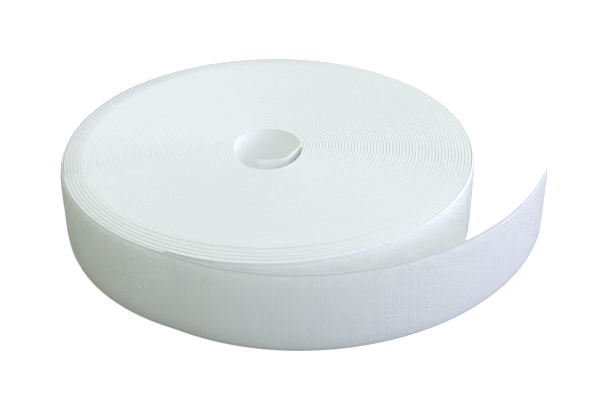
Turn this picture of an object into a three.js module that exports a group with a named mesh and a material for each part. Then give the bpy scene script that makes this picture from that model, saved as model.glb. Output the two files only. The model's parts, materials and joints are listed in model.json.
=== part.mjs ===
// A coreless roll of woven hook tape, lying flat on its edges.
// One tape is wound on itself with its hooks outwards. Its inner end has sprung into the hole, the
// outer turns have loosened at the front, and its outer end stands off the roll as a free tail.
// Millimetres and degrees. +Z is up, and the roll rests on z = 0.

import * as THREE from 'three';

// Tape: a woven web with plain selvedges, and a field of hooks on its outer face
const TAPE_WIDTH = 50;
const SELVEDGE_WIDTH = 2;
const WEB_THICKNESS = 0.6;
const HOOK_HEIGHT = 0.7;

// Winding: radii run from the axis of the roll to the smooth back of the tape
const HOLE_RADIUS = 19.8;
const START_ANGLE = 9;
const TURN_THICKNESS = 1.2; // web and hooks, pressed between two turns
const TURN_GAP = 0.74;
const INNER_TURNS = 17;
const MIDDLE_TURNS = 17;
const OUTER_TURNS = 18.65;
const LAST_TURN_GAP = 0.4;

// Slack side: here the hole sags, the tight turns lie closer and the loose ones spread
const SLACK_ANGLE = -95;
const SLACK_SPREAD = 85;
const HOLE_SAG = 8.2;
const SLACK_SQUEEZE = 0.297; // per tight turn
const LOOSE_TURNS = 5;

// Tail: leaves the roll softly, and flares towards its tip
const TAIL_SWEEP = 105.6;
const TAIL_LIFT = 17.5; // per radian
const TAIL_FLARE = 1.63; // per radian cubed
const TAIL_ONSET = 0.05; // radians
const TAIL_LENGTHS = 5;

// Inner end: kicks away from the wall of the hole, then curls across it
const INNER_END_LENGTH = 39;
const KICK_ANGLE = 41;
const KICK_LENGTH = 8;
const CURL_ANGLE = 58;
const CURL_FROM = 16.5;
const CURL_TO = 29.5;
const INNER_HINGE = 4; // from the first turn, in the middle of the kick

// Clearances
const SEAT_GAP = 0.3; // between the web and its hook field
const END_GAP = 0.4; // between two lengths of the tape
const HOOK_SETBACK = 0.6; // of a hook field from a hinge, so that it can fold

// Facets
const STEPS_PER_TURN = 20;
const LAST_TURN_STEPS = 2 * STEPS_PER_TURN;
const TAIL_STEPS = 6;
const INNER_END_STEPS = 14;
const KICK_STEPS = 3;
const CURVE_STEPS = 60;

const TURN_PITCH = TURN_THICKNESS + TURN_GAP;
const HOOK_SEAT = WEB_THICKNESS + SEAT_GAP;
const TAPE_THICKNESS = HOOK_SEAT + HOOK_HEIGHT;
const PACKED_TURNS = INNER_TURNS + MIDDLE_TURNS + OUTER_TURNS;
const TIGHT_TURNS = PACKED_TURNS - LOOSE_TURNS;
const WOUND_TURNS = PACKED_TURNS + 1;
const radians = THREE.MathUtils.degToRad;

const webFinish = () => new THREE.MeshStandardMaterial({ color: 0xe9edf0, roughness: 0.85, metalness: 0 });
const hookFinish = () => new THREE.MeshStandardMaterial({ color: 0xd8dde0, roughness: 0.55, metalness: 0 });

// Share of the slack at an angle round the roll: 1 in the middle of the slack side, 0 behind it
function slackShare(angle) {
  const turned = THREE.MathUtils.euclideanModulo(angle - radians(SLACK_ANGLE), 2 * Math.PI);
  const offset = Math.min(turned, 2 * Math.PI - turned);
  const share = Math.min(offset / radians(SLACK_SPREAD), 1);
  return 0.5 + 0.5 * Math.cos(Math.PI * share);
}

// Angle of the tape after a number of turns
function turnAngle(turn) {
  return radians(START_ANGLE) + 2 * Math.PI * turn;
}

// Radius of the tape's back after a number of turns
function turnRadius(turn) {
  const packed = Math.min(turn, PACKED_TURNS);
  const tight = Math.min(packed, TIGHT_TURNS);
  const spread = 1 - (packed - tight) / LOOSE_TURNS;
  const shift = (HOLE_SAG - SLACK_SQUEEZE * tight) * spread * slackShare(turnAngle(turn));
  const overlap = (turn - packed) * (TAPE_THICKNESS + LAST_TURN_GAP);
  return HOLE_RADIUS + TURN_PITCH * packed + shift + overlap;
}

// A stop on the tape in plan: a point of its back, and the way that its hooks face
function polarStop(angle, radius) {
  const out = new THREE.Vector2(Math.cos(angle), Math.sin(angle));
  return { back: out.clone().multiplyScalar(radius), out };
}

// Stops of a wound stretch. Every turn has its stops at the same angles, so that its facets nest
function woundStops(fromTurn, toTurn, stepsPerTurn) {
  const steps = Math.round((toTurn - fromTurn) * stepsPerTurn);
  const stops = [];
  for (let step = 0; step <= steps; step += 1) {
    const turn = fromTurn + step / stepsPerTurn;
    const radius = turnRadius(turn);
    const inset = (step === 0) - (step === steps);
    stops.push(polarStop(turnAngle(turn) + (inset * END_GAP) / 2 / radius, radius));
  }
  return stops;
}

// Stops along a curve, evenly spaced between two distances from its start
function curveStops(curve, from, to, steps, side) {
  const length = curve.getLength();
  const stops = [];
  for (let step = 0; step <= steps; step += 1) {
    const share = THREE.MathUtils.lerp(from, to, step / steps) / length;
    const tangent = curve.getTangentAt(share);
    const out = new THREE.Vector2(tangent.y, -tangent.x).multiplyScalar(side);
    stops.push({ back: curve.getPointAt(share), out });
  }
  return stops;
}

// Upright strip between two distances from the tape's back, lofted through its stops
function strip(name, stops, near, far, margin, finish, hinge = new THREE.Vector2()) {
  const low = margin;
  const high = TAPE_WIDTH - margin;
  const sections = stops.map(({ back, out }) => {
    const inner = back.clone().sub(hinge).addScaledVector(out, near);
    const outer = back.clone().sub(hinge).addScaledVector(out, far);
    return [
      new THREE.Vector3(inner.x, inner.y, low),
      new THREE.Vector3(outer.x, outer.y, low),
      new THREE.Vector3(outer.x, outer.y, high),
      new THREE.Vector3(inner.x, inner.y, high),
    ];
  });
  const points = sections.flat();
  const corners = points.length / sections.length;
  const last = points.length - corners;
  const triangles = [0, 1, 2, 0, 2, 3, last, last + 2, last + 1, last, last + 3, last + 2];
  for (let ring = 0; ring < last; ring += corners) {
    for (let corner = 0; corner < corners; corner += 1) {
      const next = (corner + 1) % corners;
      const ahead = ring + corners;
      triangles.push(ring + corner, ahead + corner, ahead + next, ring + corner, ahead + next, ring + next);
    }
  }
  const geometry = new THREE.BufferGeometry().setFromPoints(points);
  geometry.setIndex(triangles);
  geometry.computeVertexNormals();
  const mesh = new THREE.Mesh(geometry, finish());
  mesh.name = name;
  return mesh;
}

function webStrip(name, stops, hinge) {
  return strip(name, stops, 0, WEB_THICKNESS, 0, webFinish, hinge);
}

function hookStrip(name, stops, hinge) {
  return strip(name, stops, HOOK_SEAT, TAPE_THICKNESS, SELVEDGE_WIDTH, hookFinish, hinge);
}

function distanceToSegment(point, start, end) {
  const along = end.clone().sub(start);
  const share = point.clone().sub(start).dot(along) / along.lengthSq();
  return point.distanceTo(start.clone().addScaledVector(along, THREE.MathUtils.clamp(share, 0, 1)));
}

// Least distance from the face of each turn to the back of the turn wound over it
function leastGap(stops) {
  let least = Infinity;
  for (let step = 0; step + STEPS_PER_TURN + 1 < stops.length; step += 1) {
    const { back, out } = stops[step];
    const face = back.clone().addScaledVector(out, TURN_THICKNESS);
    const over = step + STEPS_PER_TURN;
    const before = distanceToSegment(face, stops[over - 1].back, stops[over].back);
    const after = distanceToSegment(face, stops[over].back, stops[over + 1].back);
    least = Math.min(least, before, after);
  }
  return least;
}

// Plan of the inner end's back, from the first turn to its free tip
class InnerEndPlan extends THREE.Curve {
  heading(distance) {
    const kick = radians(KICK_ANGLE) * THREE.MathUtils.smoothstep(distance, 0, KICK_LENGTH);
    const curl = radians(CURL_ANGLE) * THREE.MathUtils.smoothstep(distance, CURL_FROM, CURL_TO);
    return turnAngle(0) - Math.PI / 2 - kick - curl;
  }

  getPoint(share) {
    const point = polarStop(turnAngle(0), turnRadius(0)).back;
    const stride = (share * INNER_END_LENGTH) / CURVE_STEPS;
    for (let step = 0.5; step < CURVE_STEPS; step += 1) {
      const heading = this.heading(step * stride);
      point.x += stride * Math.cos(heading);
      point.y += stride * Math.sin(heading);
    }
    return point;
  }
}

// Stops from the hinge of the inner end to the start of the first turn
function kickStops() {
  return curveStops(new InnerEndPlan(), INNER_HINGE - END_GAP / 2, 0, KICK_STEPS, -1);
}

// Packed turns in three unbroken stretches. The first takes in the start of the kick
function packedTurns() {
  const group = new THREE.Group();
  const stretches = { inner_turns: INNER_TURNS, middle_turns: MIDDLE_TURNS, outer_turns: OUTER_TURNS };
  let fromTurn = 0;
  for (const [name, turns] of Object.entries(stretches)) {
    const wound = woundStops(fromTurn, fromTurn + turns, STEPS_PER_TURN);
    console.log(`${name}: ${turns} loops, least gap ${leastGap(wound).toFixed(2)} mm`);
    const stops = fromTurn === 0 ? [...kickStops(), ...wound.slice(1)] : wound;
    group.add(strip(name, stops, 0, TURN_THICKNESS, 0, webFinish));
    fromTurn += turns;
  }
  return group;
}

// Outermost turn, whose hooks show
function lastTurn() {
  const group = new THREE.Group();
  const stops = woundStops(PACKED_TURNS, WOUND_TURNS, LAST_TURN_STEPS);
  const setback = (HOOK_SETBACK - END_GAP / 2) / turnRadius(WOUND_TURNS);
  const hookStops = stops.slice(0, -1);
  hookStops.push(polarStop(turnAngle(WOUND_TURNS) - setback, turnRadius(WOUND_TURNS)));
  group.add(webStrip('last_turn_web', stops));
  group.add(hookStrip('last_turn_hooks', hookStops));
  return group;
}

// Plan of the tail's back, from the end of the last turn
class TailPlan extends THREE.Curve {
  getPoint(share) {
    const swept = share * radians(TAIL_SWEEP);
    const eased = Math.hypot(swept, TAIL_ONSET) - TAIL_ONSET;
    const radius = turnRadius(WOUND_TURNS) + TAIL_LIFT * eased + TAIL_FLARE * swept ** 3;
    return polarStop(turnAngle(WOUND_TURNS) + swept, radius).back;
  }
}

// Free tail in equal lengths, each in a group at the hinge that carries it
function tail() {
  const curve = new TailPlan();
  const length = curve.getLength() / TAIL_LENGTHS;
  const root = new THREE.Group();
  let carrier = root;
  let carrierHinge = new THREE.Vector2();
  for (let number = 1; number <= TAIL_LENGTHS; number += 1) {
    const start = (number - 1) * length;
    const end = number * length;
    const [first] = curveStops(curve, start, end, TAIL_STEPS, 1);
    const hinge = first.back.clone().addScaledVector(first.out, WEB_THICKNESS / 2);
    const hinged = number < TAIL_LENGTHS ? 1 : 0;
    const webEnd = end - (hinged * END_GAP) / 2;
    const hookEnd = end - hinged * HOOK_SETBACK;
    const webStops = curveStops(curve, start + END_GAP / 2, webEnd, TAIL_STEPS, 1);
    const hookStops = curveStops(curve, start + HOOK_SETBACK, hookEnd, TAIL_STEPS, 1);
    const group = new THREE.Group();
    group.position.set(hinge.x - carrierHinge.x, hinge.y - carrierHinge.y, 0);
    group.add(webStrip(`tail_web_${number}`, webStops, hinge));
    group.add(hookStrip(`tail_hooks_${number}`, hookStops, hinge));
    carrier.add(group);
    carrier = group;
    carrierHinge = hinge;
  }
  return root;
}

// Inner end, in a group at its hinge
function innerEnd() {
  const curve = new InnerEndPlan();
  const tip = curve.getLength();
  const [first] = curveStops(curve, INNER_HINGE, tip, INNER_END_STEPS, -1);
  const hinge = first.back.clone().addScaledVector(first.out, WEB_THICKNESS / 2);
  const group = new THREE.Group();
  group.position.set(hinge.x, hinge.y, 0);
  const webStops = curveStops(curve, tip, INNER_HINGE + END_GAP / 2, INNER_END_STEPS, -1);
  const hookStops = curveStops(curve, tip, INNER_HINGE + HOOK_SETBACK, INNER_END_STEPS, -1);
  group.add(webStrip('inner_end_web', webStops, hinge));
  group.add(hookStrip('inner_end_hooks', hookStops, hinge));
  return group;
}

const roll = new THREE.Group();
roll.add(innerEnd(), packedTurns(), lastTurn(), tail());

// The origin is the middle of the roll's footprint
const box = new THREE.Box3().setFromObject(roll);
const middle = box.getCenter(new THREE.Vector3());
roll.position.set(-middle.x, -middle.y, -box.min.z);

const part = new THREE.Group();
part.add(roll);

export default part;
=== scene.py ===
"""A coreless roll of woven hook tape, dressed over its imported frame.

One tape runs from its sprung inner end, round the roll, to its free tail. Metres, +Z up.
"""

import json
import logging
import math
from dataclasses import dataclass, field
from enum import Enum

import bpy
import numpy as np
from mathutils import Matrix, Vector


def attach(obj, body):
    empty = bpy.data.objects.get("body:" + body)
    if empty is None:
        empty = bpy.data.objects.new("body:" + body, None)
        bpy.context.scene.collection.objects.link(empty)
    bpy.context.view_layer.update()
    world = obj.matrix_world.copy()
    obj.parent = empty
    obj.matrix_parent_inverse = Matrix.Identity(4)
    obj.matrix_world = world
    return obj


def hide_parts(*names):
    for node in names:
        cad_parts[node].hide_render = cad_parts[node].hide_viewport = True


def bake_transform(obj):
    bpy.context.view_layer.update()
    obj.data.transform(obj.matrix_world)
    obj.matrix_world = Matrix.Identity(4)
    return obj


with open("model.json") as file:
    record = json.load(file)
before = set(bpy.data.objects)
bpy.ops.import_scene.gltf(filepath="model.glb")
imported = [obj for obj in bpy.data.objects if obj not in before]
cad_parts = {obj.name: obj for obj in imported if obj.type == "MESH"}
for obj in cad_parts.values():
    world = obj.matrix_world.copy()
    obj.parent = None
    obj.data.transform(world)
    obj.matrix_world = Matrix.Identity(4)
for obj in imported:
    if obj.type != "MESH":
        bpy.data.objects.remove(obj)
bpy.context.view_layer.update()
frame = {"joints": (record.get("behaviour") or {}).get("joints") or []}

Colour = tuple[float, float, float, float]

LOG = logging.getLogger("hook_tape_roll")
MM = 0.001
TAPE_PLACE = "tape_place"  # length along the tape, height and distance from its back, at each point
BAKE_MAP = "OFBake"
CAP_STRIP = 0.99  # where the end caps of a loft begin on its flat layout
CLOUD_SPAN = (0.3, 0.7)  # values between which most of a noise texture lies


class Slot(Enum):
    """Material slots of the record."""

    WEB = "web"
    HOOKS = "hooks"


class Hold(Enum):
    """Ways in which a stretch of the tape is held."""

    WOUND = "folded"
    FREE = "laid"


@dataclass(frozen=True)
class TapeSizes:
    """Sizes of the tape as it is woven, pressed and curled, and where shade is painted on it. Angles are
    in degrees.
    """

    width: float = 50 * MM
    selvedge: float = 2 * MM
    web: float = 0.6 * MM
    bead: float = 0.05 * MM
    edge_round: float = 0.3 * MM
    pressed: float = 2.15 * MM
    pressed_margin: float = 0.14 * MM
    pressed_rise: float = 0.06 * MM
    pressed_gap: float = 0.15 * MM
    wedge_slope: float = 0.25
    edge_lean: float = 0.05 * MM
    shoulder: float = 0.8 * MM
    shoulder_turns: float = 6.0
    shoulder_reach: float = 0.5
    shoulder_angle: float = -135.0
    shoulder_spread: float = 120.0
    shoulder_fade: float = 50.0
    row_pitch: float = 1.4 * MM
    hook_pitch: float = 1.7 * MM
    steps_per_row: int = 4
    rib_height: float = 0.04 * MM
    cup: float = 1.4 * MM
    cup_power: float = 6.0
    cup_relaxed: float = 0.85
    cup_onset: float = 420 * MM
    # Run over which the painted shade on the selvedges sets in.
    shade_onset: float = 20 * MM

    @property
    def loft_step(self) -> float:
        """Length of one step of the loft where the ribs of the web show."""
        return self.row_pitch / self.steps_per_row


@dataclass(frozen=True)
class WindingSizes:
    """Sizes of the winding, to the smooth back of the tape. Angles are in degrees."""

    hole_radius: float = 19.8 * MM
    start_angle: float = 9.0
    pitch: float = 1.94 * MM
    inner_turns: float = 17.0
    middle_turns: float = 17.0
    outer_turns: float = 18.65
    last_turn_rise: float = 2.0 * MM
    slack_angle: float = -95.0
    slack_spread: float = 85.0
    hole_sag: float = 8.2 * MM
    slack_squeeze: float = 0.297 * MM
    loose_turns: float = 5.0
    points_per_turn: int = 360

    @property
    def packed_turns(self) -> float:
        """Turns under the outermost one."""
        return self.inner_turns + self.middle_turns + self.outer_turns

    @property
    def turns(self) -> float:
        """All the turns."""
        return self.packed_turns + 1.0

    def angle(self, turn: np.ndarray | float) -> np.ndarray:
        """Angle of the tape after a number of turns, in radians."""
        return math.radians(self.start_angle) + 2 * math.pi * np.asarray(turn, float)

    def apart(self, angle: np.ndarray, middle: float) -> np.ndarray:
        """Degrees between an angle in radians and one in degrees, the short way round."""
        turned = np.mod(np.degrees(angle) - middle, 360.0)
        return np.minimum(turned, 360.0 - turned)

    def slack_share(self, angle: np.ndarray) -> np.ndarray:
        """Share of the slack at an angle: 1 in the middle of the slack side, 0 behind it."""
        share = np.minimum(self.apart(angle, self.slack_angle) / self.slack_spread, 1.0)
        return 0.5 + 0.5 * np.cos(math.pi * share)

    def radius(self, turn: np.ndarray | float) -> np.ndarray:
        """Radius of the tape's back after a number of turns."""
        turn = np.asarray(turn, float)
        packed = np.minimum(turn, self.packed_turns)
        tight = np.minimum(packed, self.packed_turns - self.loose_turns)
        spread = 1.0 - (packed - tight) / self.loose_turns
        slack = (self.hole_sag - self.slack_squeeze * tight) * spread
        shift = slack * self.slack_share(self.angle(turn))
        return self.hole_radius + self.pitch * packed + shift + self.last_turn_rise * (turn - packed)

    def points(self) -> np.ndarray:
        """Points of the wound tape's back, from its first turn to the root of the tail."""
        count = round(self.turns * self.points_per_turn) + 1
        turns = np.linspace(0.0, self.turns, count)
        return polar(self.angle(turns), self.radius(turns))


@dataclass(frozen=True)
class TailSizes:
    """Sizes of the free tail. Angles are in degrees, lift and flare are per radian."""

    sweep: float = 106.3
    lift: float = 17.5 * MM
    flare: float = 1.63 * MM
    onset: float = 0.05
    lengths: int = 5
    steps: int = 800

    def points(self, winding: WindingSizes) -> np.ndarray:
        """Points of the tail's back, from its root to its tip."""
        swept = np.linspace(0.0, math.radians(self.sweep), self.steps)
        eased = np.hypot(swept, self.onset) - self.onset
        radius = winding.radius(winding.turns) + self.lift * eased + self.flare * swept**3
        return polar(winding.angle(winding.turns) + swept, radius)


@dataclass(frozen=True)
class InnerEndSizes:
    """Sizes of the inner end, which kicks away from the wall of the hole. Angles are in degrees."""

    length: float = 39 * MM
    kick_angle: float = 41.0
    kick_length: float = 8 * MM
    curl_angle: float = 58.0
    curl_from: float = 16.5 * MM
    curl_to: float = 29.5 * MM
    hinge: float = 4 * MM
    steps: int = 400

    def points(self, winding: WindingSizes) -> np.ndarray:
        """Points of the inner end's back, from the first turn to its tip."""
        stride = self.length / self.steps
        middles = (np.arange(self.steps) + 0.5) * stride
        kick = math.radians(self.kick_angle) * smoothstep(middles / self.kick_length)
        curled = (middles - self.curl_from) / (self.curl_to - self.curl_from)
        curl = math.radians(self.curl_angle) * smoothstep(curled)
        heading = winding.angle(0.0) - math.pi / 2 - kick - curl
        start = polar(winding.angle(0.0), winding.radius(0.0))
        steps = stride * np.stack([np.cos(heading), np.sin(heading)], axis=1)
        return np.concatenate([start[None], start + np.cumsum(steps, axis=0)])


def polar(angle: np.ndarray, radius: np.ndarray) -> np.ndarray:
    """Plan points at these angles and radii."""
    return np.stack([radius * np.cos(angle), radius * np.sin(angle)], axis=-1)


def smoothstep(share: np.ndarray) -> np.ndarray:
    """Smooth rise from 0 to 1 as the share goes from 0 to 1."""
    share = np.clip(share, 0.0, 1.0)
    return share * share * (3 - 2 * share)


class TapePlan:
    """Plan of the whole tape's back. Places on it are lengths from the inner tip to the outer tip."""

    def __init__(self, tape: TapeSizes, winding: WindingSizes, tail: TailSizes, inner: InnerEndSizes):
        """Join the three plans end to end, and set them on the frame by the inner end's hinge.

        Args:
            tape: sizes of the tape.
            winding: sizes of the winding.
            tail: sizes of the tail.
            inner: sizes of the inner end.
        """
        self.tape, self.winding, self.tail = tape, winding, tail
        inner_points = inner.points(winding)[::-1]
        wound = winding.points()
        points = np.concatenate([inner_points[:-1], wound, tail.points(winding)[1:]])
        steps = np.linalg.norm(np.diff(points, axis=0), axis=1)
        self._lengths = np.concatenate([[0.0], np.cumsum(steps)])
        tangents = np.gradient(points, self._lengths, axis=0)
        self._outs = np.stack([tangents[:, 1], -tangents[:, 0]], axis=1)
        self._points = points
        first = len(inner_points) - 1
        self._wound = self._lengths[first : first + len(wound)]
        self.first_turn = float(self._wound[0])
        self.root = float(self._wound[-1])
        self.tip = float(self._lengths[-1])
        self.inner_hinge = self.first_turn - inner.hinge
        back, out = self.at(np.array([self.inner_hinge]))
        hinge = back[0] + out[0] * tape.web / 2
        joint = next(j for j in frame["joints"] if j["name"] == "inner_end_flex")
        self.axis = np.array(joint["pos_m"][:2]) - hinge
        self._points = points + self.axis

    def at(self, places: np.ndarray) -> tuple[np.ndarray, np.ndarray]:
        """Find the tape's back at some places.

        Args:
            places: lengths along the tape.

        Returns:
            The plan points, and the plan directions that the hooks face.
        """
        points = [np.interp(places, self._lengths, column) for column in self._points.T]
        outs = np.stack([np.interp(places, self._lengths, column) for column in self._outs.T], axis=1)
        outs /= np.linalg.norm(outs, axis=1, keepdims=True)
        return np.stack(points, axis=1), outs

    def at_turn(self, turn: float) -> float:
        """Length along the tape after a number of turns."""
        shares = np.linspace(0, 1, len(self._wound))
        return float(np.interp(turn / self.winding.turns, shares, self._wound))

    def turns_at(self, places: np.ndarray) -> np.ndarray:
        """Number of turns at some places."""
        return np.interp(places, self._wound, np.linspace(0, self.winding.turns, len(self._wound)))

    def room(self, places: np.ndarray) -> np.ndarray:
        """Distance from the tape's back to the back of the turn wound over it, at some places."""
        backs, _ = self.at(places)
        return self.winding.radius(self.turns_at(places) + 1) - np.linalg.norm(backs - self.axis, axis=1)

    def bulge(self, places: np.ndarray, heights: np.ndarray) -> np.ndarray:
        """Distance by which the outer end of the tape cups outwards, less and less along the tail."""
        start = self.at_turn(self.winding.packed_turns)
        depth = self.tape.cup * smoothstep((places - start) / self.tape.cup_onset)
        along_tail = smoothstep((places - self.root) / (self.tip - self.root))
        depth = depth * (1.0 - self.tape.cup_relaxed * along_tail)
        return depth * (1.0 - np.abs(2 * heights / self.tape.width - 1.0) ** self.tape.cup_power)

    def on_row(self, place: float) -> float:
        """Place of the row of hooks nearest to a place."""
        return (round(place / self.tape.row_pitch - 0.5) + 0.5) * self.tape.row_pitch

    def on_tail(self, lengths: float) -> float:
        """Length along the tape after a number of the tail's equal lengths."""
        return self.root + (self.tip - self.root) * lengths / self.tail.lengths

    def middle(self, place: float) -> Vector:
        """Point in the frame, halfway up the web at a place."""
        back, out = self.at(np.array([place]))
        x, y = back[0] + out[0] * self.tape.web / 2
        return Vector((x, y, self.tape.width / 2))


@dataclass(frozen=True)
class Section:
    """Upright section of the tape: heights and depths of its face and back, and its face's relief."""

    heights: np.ndarray
    rear_heights: np.ndarray
    fronts: np.ndarray
    backs: np.ndarray
    relief: np.ndarray

    @classmethod
    def mirrored(cls, tape: TapeSizes, steps: list[tuple[float, ...]]) -> "Section":
        """Make a section from its lower half.

        Args:
            tape: sizes of the tape.
            steps: heights of face and back, their depths, and share of relief, up from the edge.

        Returns:
            The whole section.
        """
        heights, rear_heights, fronts, backs, relief = (np.array(column) for column in zip(*steps))
        return cls(
            np.concatenate([heights, tape.width - heights[::-1]]),
            np.concatenate([rear_heights, tape.width - rear_heights[::-1]]),
            np.concatenate([fronts, fronts[::-1]]),
            np.concatenate([backs, backs[::-1]]),
            np.concatenate([relief, relief[::-1]]),
        )

    @classmethod
    def open_web(cls, tape: TapeSizes) -> "Section":
        """Section of the bare web, with a beaded selvedge and ribs under the hooks."""
        face = tape.web
        edge = tape.edge_round
        # Each step is a height, the depths of face and back there, and the share of relief.
        steps = [
            (0.0, 0.7 * face, 0.3 * face, 0.0),
            (0.35 * edge, face, 0.08 * face, 0.0),
            (edge, face + tape.bead, 0.0, 0.0),
            (2.5 * edge, face, 0.0, 0.0),
            (tape.selvedge - edge, face, 0.0, 0.0),
            (tape.selvedge + edge, face, 0.0, 1.0),
            (0.1 * tape.width, face, 0.0, 1.0),
            (0.17 * tape.width, face, 0.0, 1.0),
            (0.27 * tape.width, face, 0.0, 1.0),
        ]
        return cls.mirrored(tape, [(step[0], *step) for step in steps])

    @classmethod
    def pressed_turn(cls, tape: TapeSizes) -> "Section":
        """Section of a packed turn, whose hooks are pressed flat between its selvedges."""
        face = tape.web
        lean = tape.edge_lean
        margin = tape.pressed_margin
        # Each step is the heights of face and back, their depths, and the share of relief.
        steps = [
            (0.0, lean, 0.9 * face, 0.1 * face, 0.0),
            (lean, 2 * lean, face, 0.0, 0.0),
            (margin, 3 * lean, face, 0.0, 0.0),
            (margin - tape.pressed_rise, 2 * margin, face, 0.0, 1.0),
        ]
        return cls.mirrored(tape, steps)


def quad_object(name: str, points: np.ndarray, quads: np.ndarray) -> bpy.types.Object:
    """Make a smooth mesh object from points and four-sided faces.

    Args:
        name: name of the piece.
        points: places of its points in the frame.
        quads: the four points of each face, turning left as seen from outside.

    Returns:
        The new object, linked to the scene.
    """
    mesh = bpy.data.meshes.new(name)
    mesh.vertices.add(len(points))
    mesh.vertices.foreach_set("co", np.asarray(points, np.float32).ravel())
    mesh.loops.add(quads.size)
    mesh.loops.foreach_set("vertex_index", np.asarray(quads, np.int32).ravel())
    mesh.polygons.add(len(quads))
    mesh.polygons.foreach_set("loop_start", np.arange(0, quads.size, quads.shape[1], dtype=np.int32))
    mesh.update(calc_edges=True)
    mesh.validate()
    mesh.shade_smooth()
    obj = bpy.data.objects.new(name, mesh)
    bpy.context.scene.collection.objects.link(obj)
    return obj


def give_places(obj: bpy.types.Object, places: np.ndarray) -> None:
    """Store each point's place on the tape, for the finishes to read."""
    attribute = obj.data.attributes.new(TAPE_PLACE, "FLOAT_VECTOR", "POINT")
    attribute.data.foreach_set("vector", np.asarray(places, np.float32).ravel())


def give_bake_map(obj: bpy.types.Object, corners: np.ndarray) -> None:
    """Store the flat layout that the colours are baked on, one place for each face corner."""
    layer = obj.data.uv_layers.new(name=BAKE_MAP)
    layer.data.foreach_set("uv", np.asarray(corners, np.float32).ravel())


@dataclass
class WebStretch:
    """One stretch of the web, lofted along the tape."""

    name: str
    plan: TapePlan
    section: Section
    start: float
    end: float
    step: float
    map_rows: int = 4
    obj: bpy.types.Object = field(init=False, default=None)

    @property
    def length(self) -> float:
        """Length of the stretch."""
        return self.end - self.start

    def build(self) -> None:
        """Loft the section along the stretch and close its two ends."""
        stops = np.linspace(self.start, self.end, max(2, round(self.length / self.step) + 1))
        backs, outs = self.plan.at(stops)
        fronts = self.section.fronts + self._relief(stops)[:, None] * self.section.relief
        rears = np.broadcast_to(self.section.backs[::-1], fronts.shape)
        depths = np.concatenate([fronts, rears], axis=1)
        ring = depths.shape[1]
        inwards = np.sign(self.plan.tape.width / 2 - self.section.heights)
        front_heights = self.section.heights + self._droop(stops)[:, None] * fronts * inwards
        rear_heights = np.broadcast_to(self.section.rear_heights[::-1], fronts.shape)
        heights = np.concatenate([front_heights, rear_heights], axis=1)
        lengths = np.broadcast_to(stops[:, None], depths.shape)
        reach = depths + self.plan.bulge(lengths, heights)
        plan_points = backs[:, None, :] + outs[:, None, :] * reach[:, :, None]
        points = np.concatenate([plan_points, heights[:, :, None]], axis=2)
        places = np.stack([lengths, heights, depths], axis=2)
        self.obj = quad_object(self.name, points.reshape(-1, 3), self._quads(len(stops), ring))
        deeper = np.abs(np.roll(depths[0], -1) - depths[0])
        higher = np.abs(np.roll(heights[0], -1) - heights[0])
        smooth = np.zeros(len(self.obj.data.polygons), bool)
        smooth[: (len(stops) - 1) * ring] = np.tile(deeper <= higher, len(stops) - 1)
        self.obj.data.polygons.foreach_set("use_smooth", smooth)
        give_places(self.obj, places.reshape(-1, 3))
        give_bake_map(self.obj, self._bake_corners(len(stops), ring))

    def _relief(self, stops: np.ndarray) -> np.ndarray:
        """Height of the ribs that the rows of hooks stand on."""
        waves = np.cos(2 * math.pi * stops / self.plan.tape.row_pitch)
        return self.plan.tape.rib_height * (0.5 - 0.5 * waves)

    def _droop(self, stops: np.ndarray) -> np.ndarray:
        """Slope by which the edges of the face draw in with its depth at each stop."""
        return np.zeros(len(stops))

    @staticmethod
    def _quads(stops: int, ring: int) -> np.ndarray:
        """Faces of a loft with this many stops and points round its section, ends included."""
        stop, corner = np.meshgrid(np.arange(stops - 1), np.arange(ring), indexing="ij")
        here, ahead = stop * ring, (stop + 1) * ring
        after = (corner + 1) % ring
        sides = np.stack([here + corner, ahead + corner, ahead + after, here + after], axis=2)
        rise = np.arange(ring // 2 - 1)
        cap = np.stack([rise, rise + 1, ring - 2 - rise, ring - 1 - rise], axis=1)
        last = (stops - 1) * ring
        return np.concatenate([sides.reshape(-1, 4), cap, last + cap[:, ::-1]])

    def _bake_corners(self, stops: int, ring: int) -> np.ndarray:
        """Flat layout of the loft's faces: the stretch cut into rows that fill a square."""
        section = np.concatenate(
            [
                np.stack([self.section.fronts, self.section.heights], axis=1),
                np.stack([self.section.backs, self.section.rear_heights], axis=1)[::-1],
            ]
        )
        sides = np.linalg.norm(np.roll(section, -1, axis=0) - section, axis=1)
        girth = np.concatenate([[0.0], np.cumsum(sides)]) / sides.sum()
        per_row = math.ceil((stops - 1) / self.map_rows)
        stop, corner = np.meshgrid(np.arange(stops - 1), np.arange(ring), indexing="ij")
        row = stop // per_row
        left, right = (stop % per_row) / per_row, (stop % per_row + 1) / per_row
        low, high = (row + girth[corner]) / self.map_rows, (row + girth[corner + 1]) / self.map_rows
        faces = np.stack([left, low, right, low, right, high, left, high], axis=2).reshape(-1, 4, 2)
        rise = np.arange(ring // 2 - 1) / (ring // 2 - 1)
        next_rise = rise + 1 / (ring // 2 - 1)
        near, far = np.full_like(rise, CAP_STRIP), np.ones_like(rise)
        cap = np.stack([near, rise, near, next_rise, far, next_rise, far, rise], axis=1)
        cap = cap.reshape(-1, 4, 2)
        return np.concatenate([faces, cap, cap[:, ::-1]])

    def declare(self, held: Hold, rests_on: list[str], with_pieces: list[bpy.types.Object]) -> None:
        """Take how the stretch is held, what it rests on and the pieces that go with it, and do nothing
        with them.
        """


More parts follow.
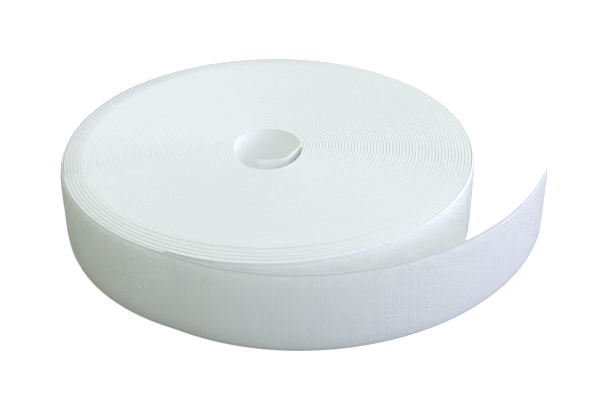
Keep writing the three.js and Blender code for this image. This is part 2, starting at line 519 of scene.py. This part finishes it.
@dataclass
class PressedStretch(WebStretch):
    """A stretch of packed tape, whose pressed hooks fill the room under the next turn."""

    def _relief(self, stops: np.ndarray) -> np.ndarray:
        """Thickness of the pressed hooks at each stop."""
        tape = self.plan.tape
        fill = tape.pressed + tape.wedge_slope * np.maximum(self.plan.first_turn - stops, 0.0)
        return np.minimum(fill, self.plan.room(stops) - tape.pressed_gap) - tape.web

    def _droop(self, stops: np.ndarray) -> np.ndarray:
        """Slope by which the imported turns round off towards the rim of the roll."""
        winding, tape = self.plan.winding, self.plan.tape
        rim = self.plan.at_turn(winding.packed_turns)
        start = self.plan.at_turn(winding.packed_turns - tape.shoulder_turns)
        offset = winding.apart(winding.angle(self.plan.turns_at(stops)), tape.shoulder_angle)
        near = smoothstep((tape.shoulder_spread - offset) / tape.shoulder_fade)
        rounded = smoothstep((stops - start) / (tape.shoulder_reach * (rim - start)))
        return near * tape.shoulder / tape.pressed * rounded


@dataclass
class HookShape:
    """A cut loop of monofilament: a hook, and the stub of the loop's other leg."""

    filament: float = 0.2 * MM
    stem: float = 0.65 * MM
    crook_radius: float = 0.3 * MM
    crook_angle: float = 205.0
    crook_steps: int = 4
    stub: float = 0.35 * MM
    root: float = 0.06 * MM
    weld: float = 0.0006 * MM
    sides: int = 4
    points: np.ndarray = field(init=False, default=None)
    quads: np.ndarray = field(init=False, default=None)

    def model(self) -> None:
        """Model one hook, and keep its points and faces as the pattern for the rest."""
        deselect_all()
        self._stand_filament(0.0, self.stem)
        hook = bpy.context.object
        bpy.ops.mesh.spin(
            steps=self.crook_steps,
            angle=math.radians(self.crook_angle),
            center=(self.crook_radius, 0.0, self.stem),
            axis=(0.0, 1.0, 0.0),
        )
        bpy.ops.mesh.select_all(action="DESELECT")
        self._stand_filament(2 * self.crook_radius, self.stub)
        bpy.ops.mesh.select_all(action="SELECT")
        bpy.ops.mesh.remove_doubles(threshold=self.weld)
        bpy.ops.mesh.normals_make_consistent(inside=False)
        bpy.ops.object.mode_set(mode="OBJECT")
        self.points = np.array([v.co for v in hook.data.vertices])
        self.quads = np.array([list(face.vertices) for face in hook.data.polygons])
        bpy.data.meshes.remove(hook.data)

    def _stand_filament(self, x: float, height: float) -> None:
        """Stand a length of filament on the web, and leave its upper end picked in edit mode."""
        bpy.ops.mesh.primitive_circle_add(
            vertices=self.sides,
            radius=self.filament / 2,
            fill_type="NGON",
            location=(x, 0.0, -self.root),
        )
        if bpy.context.mode == "OBJECT":
            bpy.ops.object.transform_apply(location=True, rotation=True, scale=True)
            bpy.ops.object.mode_set(mode="EDIT")
            bpy.ops.mesh.select_all(action="SELECT")
        rise = (0.0, 0.0, self.root + height)
        bpy.ops.mesh.extrude_region_move(TRANSFORM_OT_translate={"value": rise})


@dataclass
class HookField:
    """Rows of hooks across one stretch of the tape. Lean and jitter are in degrees."""

    name: str
    plan: TapePlan
    shape: HookShape
    start: float
    end: float
    lean: float = 15.0
    jitter: float = 8.0
    size_jitter: float = 0.05
    row_jitter: float = 0.12 * MM
    height_jitter: float = 0.22 * MM
    stagger: tuple[float, float] = (0.2, 0.8)
    layout_slant: tuple[float, float] = (0.35, 0.6)
    obj: bpy.types.Object = field(init=False, default=None)

    def build(self) -> None:
        """Copy the hook along every row of the stretch."""
        tape = self.plan.tape
        spots = (self.start / tape.row_pitch - 0.5, self.end / tape.row_pitch - 0.5)
        first, after = (math.ceil(round(spot, 3)) for spot in spots)
        rows = np.arange(first, after)
        span = tape.width - 2 * tape.selvedge
        count = round(span / tape.hook_pitch)
        columns = np.arange(count)
        row, column = (grid.ravel() for grid in np.meshgrid(rows, columns, indexing="ij"))
        chance = np.random.default_rng(first)
        shifted = np.repeat(chance.uniform(*self.stagger, len(rows)), count)
        strewn = chance.normal(0, self.height_jitter, len(row))
        heights = tape.selvedge + (column + shifted) * span / count + strewn
        strayed = np.repeat(chance.normal(0, self.row_jitter, len(rows)), count)
        places = (row + 0.5) * tape.row_pitch + strayed
        backs, outs = self.plan.at(places)
        way = np.where((row + column) % 2 == 0, 1.0, -1.0)
        turn = way * (math.pi / 2 - math.radians(self.lean))
        turn = turn + np.radians(chance.normal(0, self.jitter, len(row)))
        size = 1.0 + chance.normal(0, self.size_jitter, len(row))
        local = self.shape.points[None] * size[:, None, None]
        local[:, :, 0] -= self.shape.crook_radius
        along = local[:, :, 0] * np.cos(turn)[:, None] - local[:, :, 1] * np.sin(turn)[:, None]
        across = local[:, :, 0] * np.sin(turn)[:, None] + local[:, :, 1] * np.cos(turn)[:, None]
        above = local[:, :, 2] + tape.web + tape.rib_height
        tangents = np.stack([-outs[:, 1], outs[:, 0]], axis=1)
        reach = above + self.plan.bulge(places, heights)[:, None]
        plan = backs[:, None] + tangents[:, None] * along[:, :, None] + outs[:, None] * reach[:, :, None]
        up = heights[:, None] + across
        points = np.concatenate([plan, up[:, :, None]], axis=2).reshape(-1, 3)
        starts = np.arange(len(row))[:, None, None] * len(self.shape.points)
        quads = (starts + self.shape.quads[None]).reshape(-1, 4)
        self.obj = quad_object(self.name, points, quads)
        length = places[:, None] + along
        give_places(self.obj, np.stack([length, up, above], axis=2).reshape(-1, 3))
        slant_u, slant_v = self.layout_slant
        u = (length + slant_u * above - self.start) / (self.end - self.start + tape.row_pitch)
        v = (up + slant_v * above) / (tape.width + tape.selvedge)
        layout = np.clip(np.stack([u, v], axis=2).reshape(-1, 2), 0.0, 1.0)
        give_bake_map(self.obj, layout[quads.ravel()])


def deselect_all() -> None:
    """Leave nothing picked, so that an operator acts only on what comes next."""
    if bpy.context.mode != "OBJECT":
        bpy.ops.object.mode_set(mode="OBJECT")
    bpy.ops.object.select_all(action="DESELECT")


class Nodes:
    """Short ways to build a node tree."""

    def __init__(self, tree: bpy.types.NodeTree):
        """Start on an empty tree."""
        self.tree = tree
        tree.nodes.clear()

    def add(self, kind: str, inputs: dict | None = None, **settings: object) -> bpy.types.Node:
        """Add a node.

        Args:
            kind: the node's type.
            inputs: values or links for its sockets, by name or number.
            settings: the node's own settings.

        Returns:
            The new node.
        """
        node = self.tree.nodes.new(kind)
        for name, value in settings.items():
            setattr(node, name, value)
        for socket, value in (inputs or {}).items():
            if isinstance(value, bpy.types.NodeSocket):
                self.tree.links.new(value, node.inputs[socket])
            else:
                node.inputs[socket].default_value = value
        return node

    def maths(self, operation: str, *values: object) -> bpy.types.NodeSocket:
        """Add a sum of one or two values and return its result."""
        return self.add("ShaderNodeMath", dict(enumerate(values)), operation=operation).outputs[0]

    def ramp(
        self, value: object, low: float, high: float, to_low: float, to_high: float
    ) -> bpy.types.NodeSocket:
        """Add a smooth map of a value from one range to another and return its result."""
        inputs = {"Value": value, "From Min": low, "From Max": high, "To Min": to_low, "To Max": to_high}
        return self.add("ShaderNodeMapRange", inputs, interpolation_type="SMOOTHSTEP").outputs[0]

    def blend(self, share: object, first: object, second: object) -> bpy.types.NodeSocket:
        """Add a blend of two colours and return its result."""
        inputs = {0: share, 6: first, 7: second}
        return self.add("ShaderNodeMix", inputs, data_type="RGBA").outputs[2]

    def surface(self, inputs: dict) -> None:
        """End the tree in a surface with these values and links."""
        shader = self.add("ShaderNodeBsdfPrincipled", inputs)
        self.add("ShaderNodeOutputMaterial", {"Surface": shader.outputs[0]})


def new_material(name: str) -> tuple[bpy.types.Material, Nodes]:
    """Make a material with an empty node tree, and the means to fill it."""
    material = bpy.data.materials.new(name)
    material.use_nodes = True
    return material, Nodes(material.node_tree)


@dataclass(frozen=True)
class WebFinish:
    """Woven white polyamide, plain at its selvedges and coated on its back, with shade painted on its
    edges and selvedges.
    """

    light: Colour = (0.95, 0.96, 0.96, 1.0)
    shade: Colour = (0.90, 0.92, 0.915, 1.0)
    # Painted shade: the web's edges are darker for the shade among their fibres, and the pressed hooks
    # between the turns are darker still for the shade in the grooves.
    web_edge_shade: Colour = (0.84, 0.855, 0.855, 1.0)
    pressed_hook_shade: Colour = (0.77, 0.785, 0.785, 1.0)
    # Painted shade: the rim of the roll is darker on its left side, where less light falls.
    left_rim_shade: Colour = (0.72, 0.735, 0.73, 1.0)
    # Painted shade: the selvedges of the tail and of the start of the outermost turn take the shaded tone
    # of the hooks beside them, and the tail's edges are darker still.
    selvedge_shade: Colour = (0.82, 0.84, 0.835, 1.0)
    tail_edge_shade: Colour = (0.64, 0.66, 0.655, 1.0)
    warp_pitch: float = 0.5 * MM
    weft_pitch: float = 0.7 * MM
    weave_depth: float = 0.03 * MM
    weave_strength: float = 0.5
    weave_tone: float = 0.2
    cloud_tone: float = 0.9
    cloud_scale: float = 160.0
    cloud_detail: float = 3.0
    roughness: tuple[float, float] = (0.62, 0.82)
    coat_gloss: float = 0.18
    specular: float = 0.3
    pile_depth: float = 0.9 * MM
    edge_band: float = 1.2 * MM
    # Reach over which the painted shade on the left of the rim fades out towards the right.
    left_shade_fade: float = 90 * MM

    def material(self, plan: TapePlan) -> bpy.types.Material:
        """Make the finish, which follows the tape's own length and height."""
        material, nodes = new_material("woven_web")
        place = nodes.add("ShaderNodeAttribute", attribute_name=TAPE_PLACE).outputs["Vector"]
        along, height, depth = nodes.add("ShaderNodeSeparateXYZ", {0: place}).outputs
        warp = nodes.maths("SINE", nodes.maths("MULTIPLY", height, 2 * math.pi / self.warp_pitch))
        weft = nodes.maths("SINE", nodes.maths("MULTIPLY", along, 2 * math.pi / self.weft_pitch))
        weave = nodes.maths("MULTIPLY", warp, weft)
        grain = {"Vector": place, "Scale": self.cloud_scale, "Detail": self.cloud_detail}
        cloud = nodes.add("ShaderNodeTexNoise", grain).outputs[0]
        woven = nodes.maths("MULTIPLY", weave, self.weave_tone)
        clouded = nodes.maths("MULTIPLY", cloud, self.cloud_tone)
        colour = nodes.blend(nodes.maths("ADD", woven, clouded), self.light, self.shade)
        coated = nodes.ramp(depth, 0.0, plan.tape.web / 2, 1.0, 0.0)
        rough = nodes.ramp(cloud, *CLOUD_SPAN, *self.roughness)
        gloss = nodes.maths("MULTIPLY", coated, self.coat_gloss)
        relief = {"Height": weave, "Strength": self.weave_strength, "Distance": self.weave_depth}
        nodes.surface(
            {
                "Base Color": self._tone_edges(nodes, plan, colour, (along, height, depth)),
                "Roughness": nodes.maths("SUBTRACT", rough, gloss),
                "Normal": nodes.add("ShaderNodeBump", relief).outputs[0],
                "Specular IOR Level": self.specular,
            }
        )
        return material

    def _tone_edges(
        self,
        nodes: Nodes,
        plan: TapePlan,
        colour: bpy.types.NodeSocket,
        place: tuple[bpy.types.NodeSocket, ...],
    ) -> bpy.types.NodeSocket:
        """Paint shade on the edges and selvedges: darker edges and pressed hooks, a darker rim on the
        left, and darker selvedges and edges on the tail and the outermost turn's start.

        Args:
            nodes: the finish's node tree.
            plan: plan of the tape.
            colour: colour of the web itself.
            place: length, height and depth on the tape.

        Returns:
            The toned colour.
        """
        tape = plan.tape
        along, height, depth = place
        half = tape.width / 2
        inner = half - tape.selvedge
        off_middle = nodes.maths("ABSOLUTE", nodes.maths("SUBTRACT", height, half))
        on_selvedge = nodes.ramp(off_middle, inner - tape.edge_round, inner, 0.0, 1.0)
        on_edge = nodes.ramp(off_middle, half - self.edge_band, half - tape.edge_round, 0.0, 1.0)
        web_only = nodes.ramp(depth, tape.web, self.pile_depth, 1.0, 0.0)
        last_turn = plan.at_turn(plan.winding.packed_turns)
        rim = plan.at_turn(plan.winding.packed_turns - tape.shoulder_turns)
        # Painted shade: the edges of the outer turns darken on the left of the roll, fading out towards
        # the right.
        spot = nodes.add("ShaderNodeTexCoord").outputs["Object"]
        across = nodes.add("ShaderNodeSeparateXYZ", {0: spot}).outputs[0]
        left = nodes.ramp(across, plan.axis[0], plan.axis[0] + self.left_shade_fade, 1.0, 0.0)
        left_rim_share = nodes.maths("MULTIPLY", left, nodes.ramp(along, rim, last_turn, 0.0, 1.0))
        # Painted shade on the selvedges of the tail and of the start of the outermost turn, darker still
        # on the tail's edges.
        tail_share = nodes.ramp(along, plan.root - tape.shade_onset, plan.root, 0.0, 1.0)
        shut_in = nodes.ramp(along, last_turn, last_turn + tape.shade_onset, 0.0, 1.0)
        bare = nodes.ramp(along, last_turn + tape.cup_onset / 2, last_turn + tape.cup_onset, 1.0, 0.0)
        shaded_selvedge = nodes.maths("MAXIMUM", tail_share, nodes.maths("MULTIPLY", shut_in, bare))
        # Painted shade on the edges: on the web's own edges, and darker on the pressed hooks between the
        # turns.
        edge = nodes.blend(web_only, self.pressed_hook_shade, self.web_edge_shade)
        edge = nodes.blend(left_rim_share, edge, self.left_rim_shade)
        colour = nodes.blend(on_edge, colour, edge)
        colour = nodes.blend(nodes.maths("MULTIPLY", on_selvedge, shaded_selvedge), colour, self.selvedge_shade)
        return nodes.blend(nodes.maths("MULTIPLY", on_edge, tail_share), colour, self.tail_edge_shade)


@dataclass(frozen=True)
class HookFinish:
    """Clear white monofilament, a little uneven along the tape."""

    light: Colour = (0.95, 0.965, 0.96, 1.0)
    shade: Colour = (0.87, 0.895, 0.885, 1.0)
    streak: tuple[float, float, float] = (1.0, 0.1, 1.0)
    cloud_scale: float = 420.0
    cloud_detail: float = 2.0
    roughness: tuple[float, float] = (0.45, 0.6)
    specular: float = 0.3

    def material(self) -> bpy.types.Material:
        """Make the finish, which follows the tape's own length and height."""
        material, nodes = new_material("hook_monofilament")
        place = nodes.add("ShaderNodeAttribute", attribute_name=TAPE_PLACE).outputs["Vector"]
        drawn = nodes.add("ShaderNodeMapping", {"Vector": place, "Scale": self.streak}).outputs[0]
        grain = {"Vector": drawn, "Scale": self.cloud_scale, "Detail": self.cloud_detail}
        cloud = nodes.add("ShaderNodeTexNoise", grain).outputs[0]
        uneven = nodes.ramp(cloud, *CLOUD_SPAN, 0.0, 1.0)
        nodes.surface(
            {
                "Base Color": nodes.blend(uneven, self.light, self.shade),
                "Roughness": nodes.ramp(cloud, *CLOUD_SPAN, *self.roughness),
                "Specular IOR Level": self.specular,
            }
        )
        return material


@dataclass(frozen=True)
class Finishes:
    """The finishes of the tape, made once."""

    web: bpy.types.Material
    hooks: bpy.types.Material

    def dress(self, obj: bpy.types.Object, slot: Slot) -> None:
        """Give a piece the finish of its slot."""
        obj.data.materials.append(self.web if slot is Slot.WEB else self.hooks)


@dataclass
class WoundTurns:
    """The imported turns, in three stretches."""

    plan: TapePlan
    seam: float
    step: float = 4 * MM
    map_rows: int = 24
    stretches: list[WebStretch] = field(init=False, default_factory=list)

    def build(self) -> None:
        """Loft the three stretches end to end."""
        section = Section.pressed_turn(self.plan.tape)
        winding = self.plan.winding
        ends = np.cumsum([winding.inner_turns, winding.middle_turns, winding.outer_turns])
        start = self.seam
        for name, turn in zip(("inner", "middle", "outer"), ends):
            end = self.plan.at_turn(float(turn))
            stretch = PressedStretch(
                f"wound_{name}_web", self.plan, section, start, end, self.step, self.map_rows
            )
            stretch.build()
            self.stretches.append(stretch)
            start = end

    def dress(self, finishes: Finishes) -> None:
        """Finish the stretches and seat them on the roll."""
        under: list[str] = []
        for stretch, node in zip(self.stretches, ("inner_turns", "middle_turns", "outer_turns")):
            finishes.dress(stretch.obj, Slot.WEB)
            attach(stretch.obj, "roll")
            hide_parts(node)
            stretch.declare(Hold.WOUND, under, [])
            under = [stretch.name]
            LOG.info("%s: %.2f m of tape", stretch.name, stretch.length)


@dataclass
class LastTurn:
    """The outermost turn, whose hooks show."""

    plan: TapePlan
    shape: HookShape
    end: float
    panels: int = 6
    map_rows: int = 8
    web: WebStretch = field(init=False, default=None)
    fields: list[HookField] = field(init=False, default_factory=list)

    def build(self) -> None:
        """Loft the web and lay its hooks in panels."""
        tape = self.plan.tape
        section = Section.open_web(tape)
        start = self.plan.at_turn(self.plan.winding.packed_turns)
        self.web = WebStretch(
            "last_turn_cloth", self.plan, section, start, self.end, tape.loft_step, self.map_rows
        )
        self.web.build()
        bounds = np.linspace(start, self.end, self.panels + 1)
        for number, (low, high) in enumerate(zip(bounds, bounds[1:]), 1):
            panel = HookField(f"last_turn_pile_{number}", self.plan, self.shape, low, high)
            panel.build()
            self.fields.append(panel)

    def dress(self, finishes: Finishes) -> None:
        """Finish the web and its hooks and seat them on the roll."""
        finishes.dress(self.web.obj, Slot.WEB)
        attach(self.web.obj, "roll")
        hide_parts("last_turn_web")
        for panel in self.fields:
            finishes.dress(panel.obj, Slot.HOOKS)
            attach(panel.obj, "roll")
            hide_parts("last_turn_hooks")
        self.web.declare(Hold.WOUND, ["wound_outer_web"], [panel.obj for panel in self.fields])
        LOG.info("%s: %.2f m of tape, %d panels of hooks", self.web.name, self.web.length, self.panels)


@dataclass
class Tail:
    """The free tail: a chain of lengths, each bending over one hinge."""

    plan: TapePlan
    shape: HookShape
    start: float
    webs: list[WebStretch] = field(init=False, default_factory=list)
    fields: list[HookField] = field(init=False, default_factory=list)

    def build(self) -> None:
        """Loft the webs and lay their hooks, from the middle of one length to the middle of the next."""
        tape = self.plan.tape
        section = Section.open_web(tape)
        low = self.start
        for number in range(1, self.plan.tail.lengths + 1):
            last = number == self.plan.tail.lengths
            high = self.plan.tip if last else self._seam(number)
            web = WebStretch(f"tail_cloth_{number}", self.plan, section, low, high, tape.loft_step)
            web.build()
            pile = HookField(f"tail_pile_{number}", self.plan, self.shape, low, high)
            pile.build()
            self.webs.append(web)
            self.fields.append(pile)
            low = high

    def _seam(self, number: int) -> float:
        """Place where a length's web hands over to the next, under the row of hooks at its middle."""
        return self.plan.on_row(self.plan.on_tail(number - 0.5))

    def dress(self, finishes: Finishes) -> None:
        """Finish the lengths and their hooks, and hide the imported parts that they replace."""
        for number, (web, pile) in enumerate(zip(self.webs, self.fields), 1):
            begin = self.plan.middle(web.start)
            end = self.plan.middle(self._seam(number))
            for obj, slot, node in ((web.obj, Slot.WEB, "web"), (pile.obj, Slot.HOOKS, "hooks")):
                finishes.dress(obj, slot)
                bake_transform(obj)
                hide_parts(f"tail_{node}_{number}")
            web.declare(Hold.FREE, [], [pile.obj])
            LOG.info("%s: %.0f mm of tape", web.name, web.length / MM)


@dataclass
class InnerEnd:
    """The inner end, which bends at its hinge into the hole."""

    plan: TapePlan
    shape: HookShape
    seam: float
    overlap: float = 6.5 * MM
    bend_length: float = 9 * MM
    web: WebStretch = field(init=False, default=None)
    pile: HookField = field(init=False, default=None)

    def build(self) -> None:
        """Loft the web and lay its hooks."""
        tape = self.plan.tape
        section = Section.open_web(tape)
        self.web = WebStretch("inner_end_cloth", self.plan, section, 0.0, self.seam, tape.loft_step)
        self.web.build()
        self.pile = HookField("inner_end_pile", self.plan, self.shape, 0.0, self.seam)
        self.pile.build()

    def dress(self, finishes: Finishes) -> None:
        """Finish the end and its hooks, and hide the imported parts that they replace."""
        begin = self.plan.middle(self.seam)
        end = self.plan.middle(self.plan.inner_hinge - self.bend_length)
        for obj, slot, node in ((self.web.obj, Slot.WEB, "web"), (self.pile.obj, Slot.HOOKS, "hooks")):
            finishes.dress(obj, slot)
            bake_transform(obj)
            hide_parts(f"inner_end_{node}")
        self.web.declare(Hold.FREE, ["wound_inner_web"], [self.pile.obj])
        LOG.info("%s: %.0f mm of tape", self.web.name, self.web.length / MM)


@dataclass(frozen=True)
class Lobe:
    """A soft source of light in the tent: the way to it, its colour and how narrow it is."""

    way: tuple[float, float, float]
    colour: tuple[float, float, float]
    narrowness: float = 4.0


@dataclass
class Studio:
    """A white cove, the soft light of a tent round it, and the photograph's camera."""

    plan: TapePlan
    image_width: int = 600
    image_height: int = 404
    focal_pixels: float = 1087.3
    optical_centre: tuple[float, float] = (268.96, 179.95)
    elevation: float = 31.436
    roll: float = -1.382
    distance: float = 676.3 * MM
    sensor: float = 36.0
    cove_radius: float = 4.0
    cove_steps: tuple[tuple[float, float], ...] = ((1.6, 0.0), (1.15, 0.25), (1.06, 0.7), (1.0, 3.0))
    cove_white: Colour = (0.93, 0.93, 0.93, 1.0)
    cove_glow: float = 0.6
    cove_grain: float = 3.0
    round_sides: int = 64
    lobes: tuple[Lobe, ...] = (
        Lobe((1.0, 0.0, 0.15), (2.17, 2.09, 2.64)),
        Lobe((0.6, -0.8, 0.15), (1.13, 1.33, 1.59)),
        Lobe((0.0, -0.71, 0.71), (0.42, 0.40, 0.30)),
        Lobe((-0.71, 0.0, 0.71), (0.90, 0.96, 0.67)),
        Lobe((0.0, 0.71, 0.71), (1.12, 1.32, 1.44)),
        Lobe((0.6, 0.8, 0.15), (1.50, 1.28, 1.26)),
    )
    card_dark: Colour = (0.25, 0.25, 0.245, 1.0)
    card_light: Colour = (0.5, 0.5, 0.49, 1.0)
    card_spread: tuple[float, float] = (140 * MM, 300 * MM)
    card_level: float = -1.0 * MM
    card_grain: float = 5.0
    board_white: Colour = (0.93, 0.93, 0.92, 1.0)
    board_glow: float = 0.14
    board_level: float = -0.5 * MM
    board_points: int = 160
    board_share: float = 0.7
    matt: tuple[float, float] = (0.85, 0.95)
    glow_white: Colour = (1.0, 1.0, 1.0, 1.0)
    diffuse_bounces: int = 10

    def build(self) -> None:
        """Set up the camera, the tent and the cove."""
        bpy.context.scene.view_settings.view_transform = "Standard"
        bpy.context.scene.cycles.diffuse_bounces = self.diffuse_bounces
        self._aim_camera()
        self._light_tent()
        self._lay_cove()
        self._lay_card()
        self._lay_board()

    def _aim_camera(self) -> None:
        """Place the camera at the photograph's angle, with the photograph's framing."""
        rise = math.radians(self.elevation)
        back = Vector((0.0, -math.cos(rise), math.sin(rise)))
        up = back.cross(Vector((1.0, 0.0, 0.0)))
        turned = Matrix.Rotation(math.radians(self.roll), 3, back)
        right, up = turned @ Vector((1.0, 0.0, 0.0)), turned @ up
        target = Vector((*self.plan.axis, self.plan.tape.width / 2))
        data = bpy.data.cameras.new("camera")
        data.sensor_fit = "HORIZONTAL"
        data.sensor_width = self.sensor
        data.lens = self.focal_pixels * self.sensor / self.image_width
        data.shift_x = (self.image_width / 2 - self.optical_centre[0]) / self.image_width
        data.shift_y = (self.optical_centre[1] - self.image_height / 2) / self.image_width
        camera = bpy.data.objects.new("camera", data)
        axes = Matrix((right, up, back)).transposed().to_4x4()
        camera.matrix_world = Matrix.Translation(target + back * self.distance) @ axes
        bpy.context.scene.collection.objects.link(camera)
        bpy.context.scene.camera = camera

    def _light_tent(self) -> None:
        """Light the scene from a tent that is brighter above and on the right."""
        world = bpy.data.worlds.new("tent")
        world.use_nodes = True
        bpy.context.scene.world = world
        nodes = Nodes(world.node_tree)
        towards = nodes.add("ShaderNodeTexCoord").outputs["Generated"]
        light = (0.0, 0.0, 0.0)
        for lobe in self.lobes:
            way = tuple(Vector(lobe.way).normalized())
            facing = nodes.add("ShaderNodeVectorMath", {0: towards, 1: way}, operation="DOT_PRODUCT")
            lit = nodes.maths("MAXIMUM", facing.outputs["Value"], 0.0)
            share = nodes.maths("POWER", lit, lobe.narrowness)
            scaled = nodes.add("ShaderNodeVectorMath", {0: lobe.colour, "Scale": share}, operation="SCALE")
            both = {0: light, 1: scaled.outputs[0]}
            light = nodes.add("ShaderNodeVectorMath", both, operation="ADD").outputs[0]
        background = nodes.add("ShaderNodeBackground", {"Color": light})
        nodes.add("ShaderNodeOutputWorld", {"Surface": background.outputs[0]})

    def _lay_cove(self) -> None:
        """Model a round cove: a floor whose rim is drawn up into a wall."""
        deselect_all()
        bpy.ops.mesh.primitive_circle_add(
            vertices=self.round_sides, radius=self.cove_radius / 2, fill_type="NGON"
        )
        cove = bpy.context.object
        cove.name = "floor"
        bpy.ops.object.mode_set(mode="EDIT")
        bpy.ops.mesh.select_all(action="DESELECT")
        bpy.ops.mesh.select_non_manifold()
        for spread, lift in self.cove_steps:
            bpy.ops.mesh.extrude_edges_move(TRANSFORM_OT_translate={"value": (0.0, 0.0, lift)})
            bpy.ops.transform.resize(value=(spread, spread, 1.0))
        bpy.ops.object.mode_set(mode="OBJECT")
        cove.data.shade_smooth()
        material, nodes = new_material("white_cove")
        grain = nodes.add("ShaderNodeTexNoise", {"Scale": self.cove_grain}).outputs[0]
        self._make_matt(nodes, grain, self.cove_white, self.cove_glow)
        cove.data.materials.append(material)
        cove.visible_diffuse = False
        cove.visible_glossy = False
        cove.visible_shadow = False

    def _lay_card(self) -> None:
        """Lay a grey card round the roll, so that little light comes from below."""
        deselect_all()
        bpy.ops.mesh.primitive_circle_add(
            vertices=self.round_sides,
            radius=self.cove_radius,
            fill_type="NGON",
            location=(0.0, 0.0, self.card_level),
        )
        card = bpy.context.object
        card.name = "card"
        bpy.ops.object.transform_apply(location=True, rotation=True, scale=True)
        self._hide_reflector(card, self.card_dark, self.card_light, 0.0)

    def _lay_board(self) -> None:
        """Lay a white board under the roll and its tail, to light the hole and the tail's back."""
        places = np.linspace(self.plan.root - self._board_turn(), self.plan.tip, self.board_points)
        outline, _ = self.plan.at(places)
        mesh = bpy.data.meshes.new("board")
        corners = [(x, y, self.board_level) for x, y in outline]
        mesh.from_pydata(corners, [], [list(range(len(corners)))])
        board = bpy.data.objects.new("board", mesh)
        bpy.context.scene.collection.objects.link(board)
        self._hide_reflector(board, self.board_white, self.board_white, self.board_glow)

    def _board_turn(self) -> float:
        """Length of the outermost turn's share of the board's outline."""
        winding = self.plan.winding
        turn = self.plan.at_turn(winding.turns) - self.plan.at_turn(winding.turns - 1.0)
        return self.board_share * turn

    def _hide_reflector(self, obj: bpy.types.Object, near: Colour, far: Colour, glow: float) -> None:
        """Make a matt reflector of a flat object, out of the camera's sight.

        Args:
            obj: the object.
            near: its colour under the roll.
            far: its colour away from the roll.
            glow: its own light.
        """
        material, nodes = new_material(f"matt_{obj.name}")
        place = nodes.add("ShaderNodeTexCoord").outputs["Object"]
        distance = nodes.add("ShaderNodeVectorMath", {0: place}, operation="LENGTH").outputs["Value"]
        grain = nodes.add("ShaderNodeTexNoise", {"Vector": place, "Scale": self.card_grain}).outputs[0]
        colour = nodes.blend(nodes.ramp(distance, *self.card_spread, 0.0, 1.0), near, far)
        self._make_matt(nodes, grain, colour, glow)
        obj.data.materials.append(material)
        obj.visible_camera = False
        obj.visible_shadow = False

    def _make_matt(self, nodes: Nodes, grain: bpy.types.NodeSocket, colour: object, glow: float) -> None:
        """End a node tree in a matt surface that gives off a little light of its own."""
        nodes.surface(
            {
                "Base Color": colour,
                "Roughness": nodes.ramp(grain, 0.0, 1.0, *self.matt),
                "Emission Color": self.glow_white,
                "Emission Strength": glow,
                "Specular IOR Level": 0.0,
            }
        )


def main() -> None:
    """Build the tape from its inner end to its tail, and light it."""
    logging.basicConfig(level=logging.INFO, format="%(message)s")
    tape = TapeSizes()
    plan = TapePlan(tape, WindingSizes(), TailSizes(), InnerEndSizes())
    Studio(plan).build()
    shape = HookShape()
    shape.model()
    finishes = Finishes(WebFinish().material(plan), HookFinish().material())
    inner_seam = plan.first_turn - InnerEnd.overlap
    # The first length of the tail begins half a length before its hinge.
    tail_start = plan.on_row(plan.on_tail(-0.5))
    assemblies = (
        WoundTurns(plan, inner_seam),
        LastTurn(plan, shape, tail_start),
        Tail(plan, shape, tail_start),
        InnerEnd(plan, shape, inner_seam),
    )
    for assembly in assemblies:
        assembly.build()
        assembly.dress(finishes)


if __name__ == "__main__":
    main()
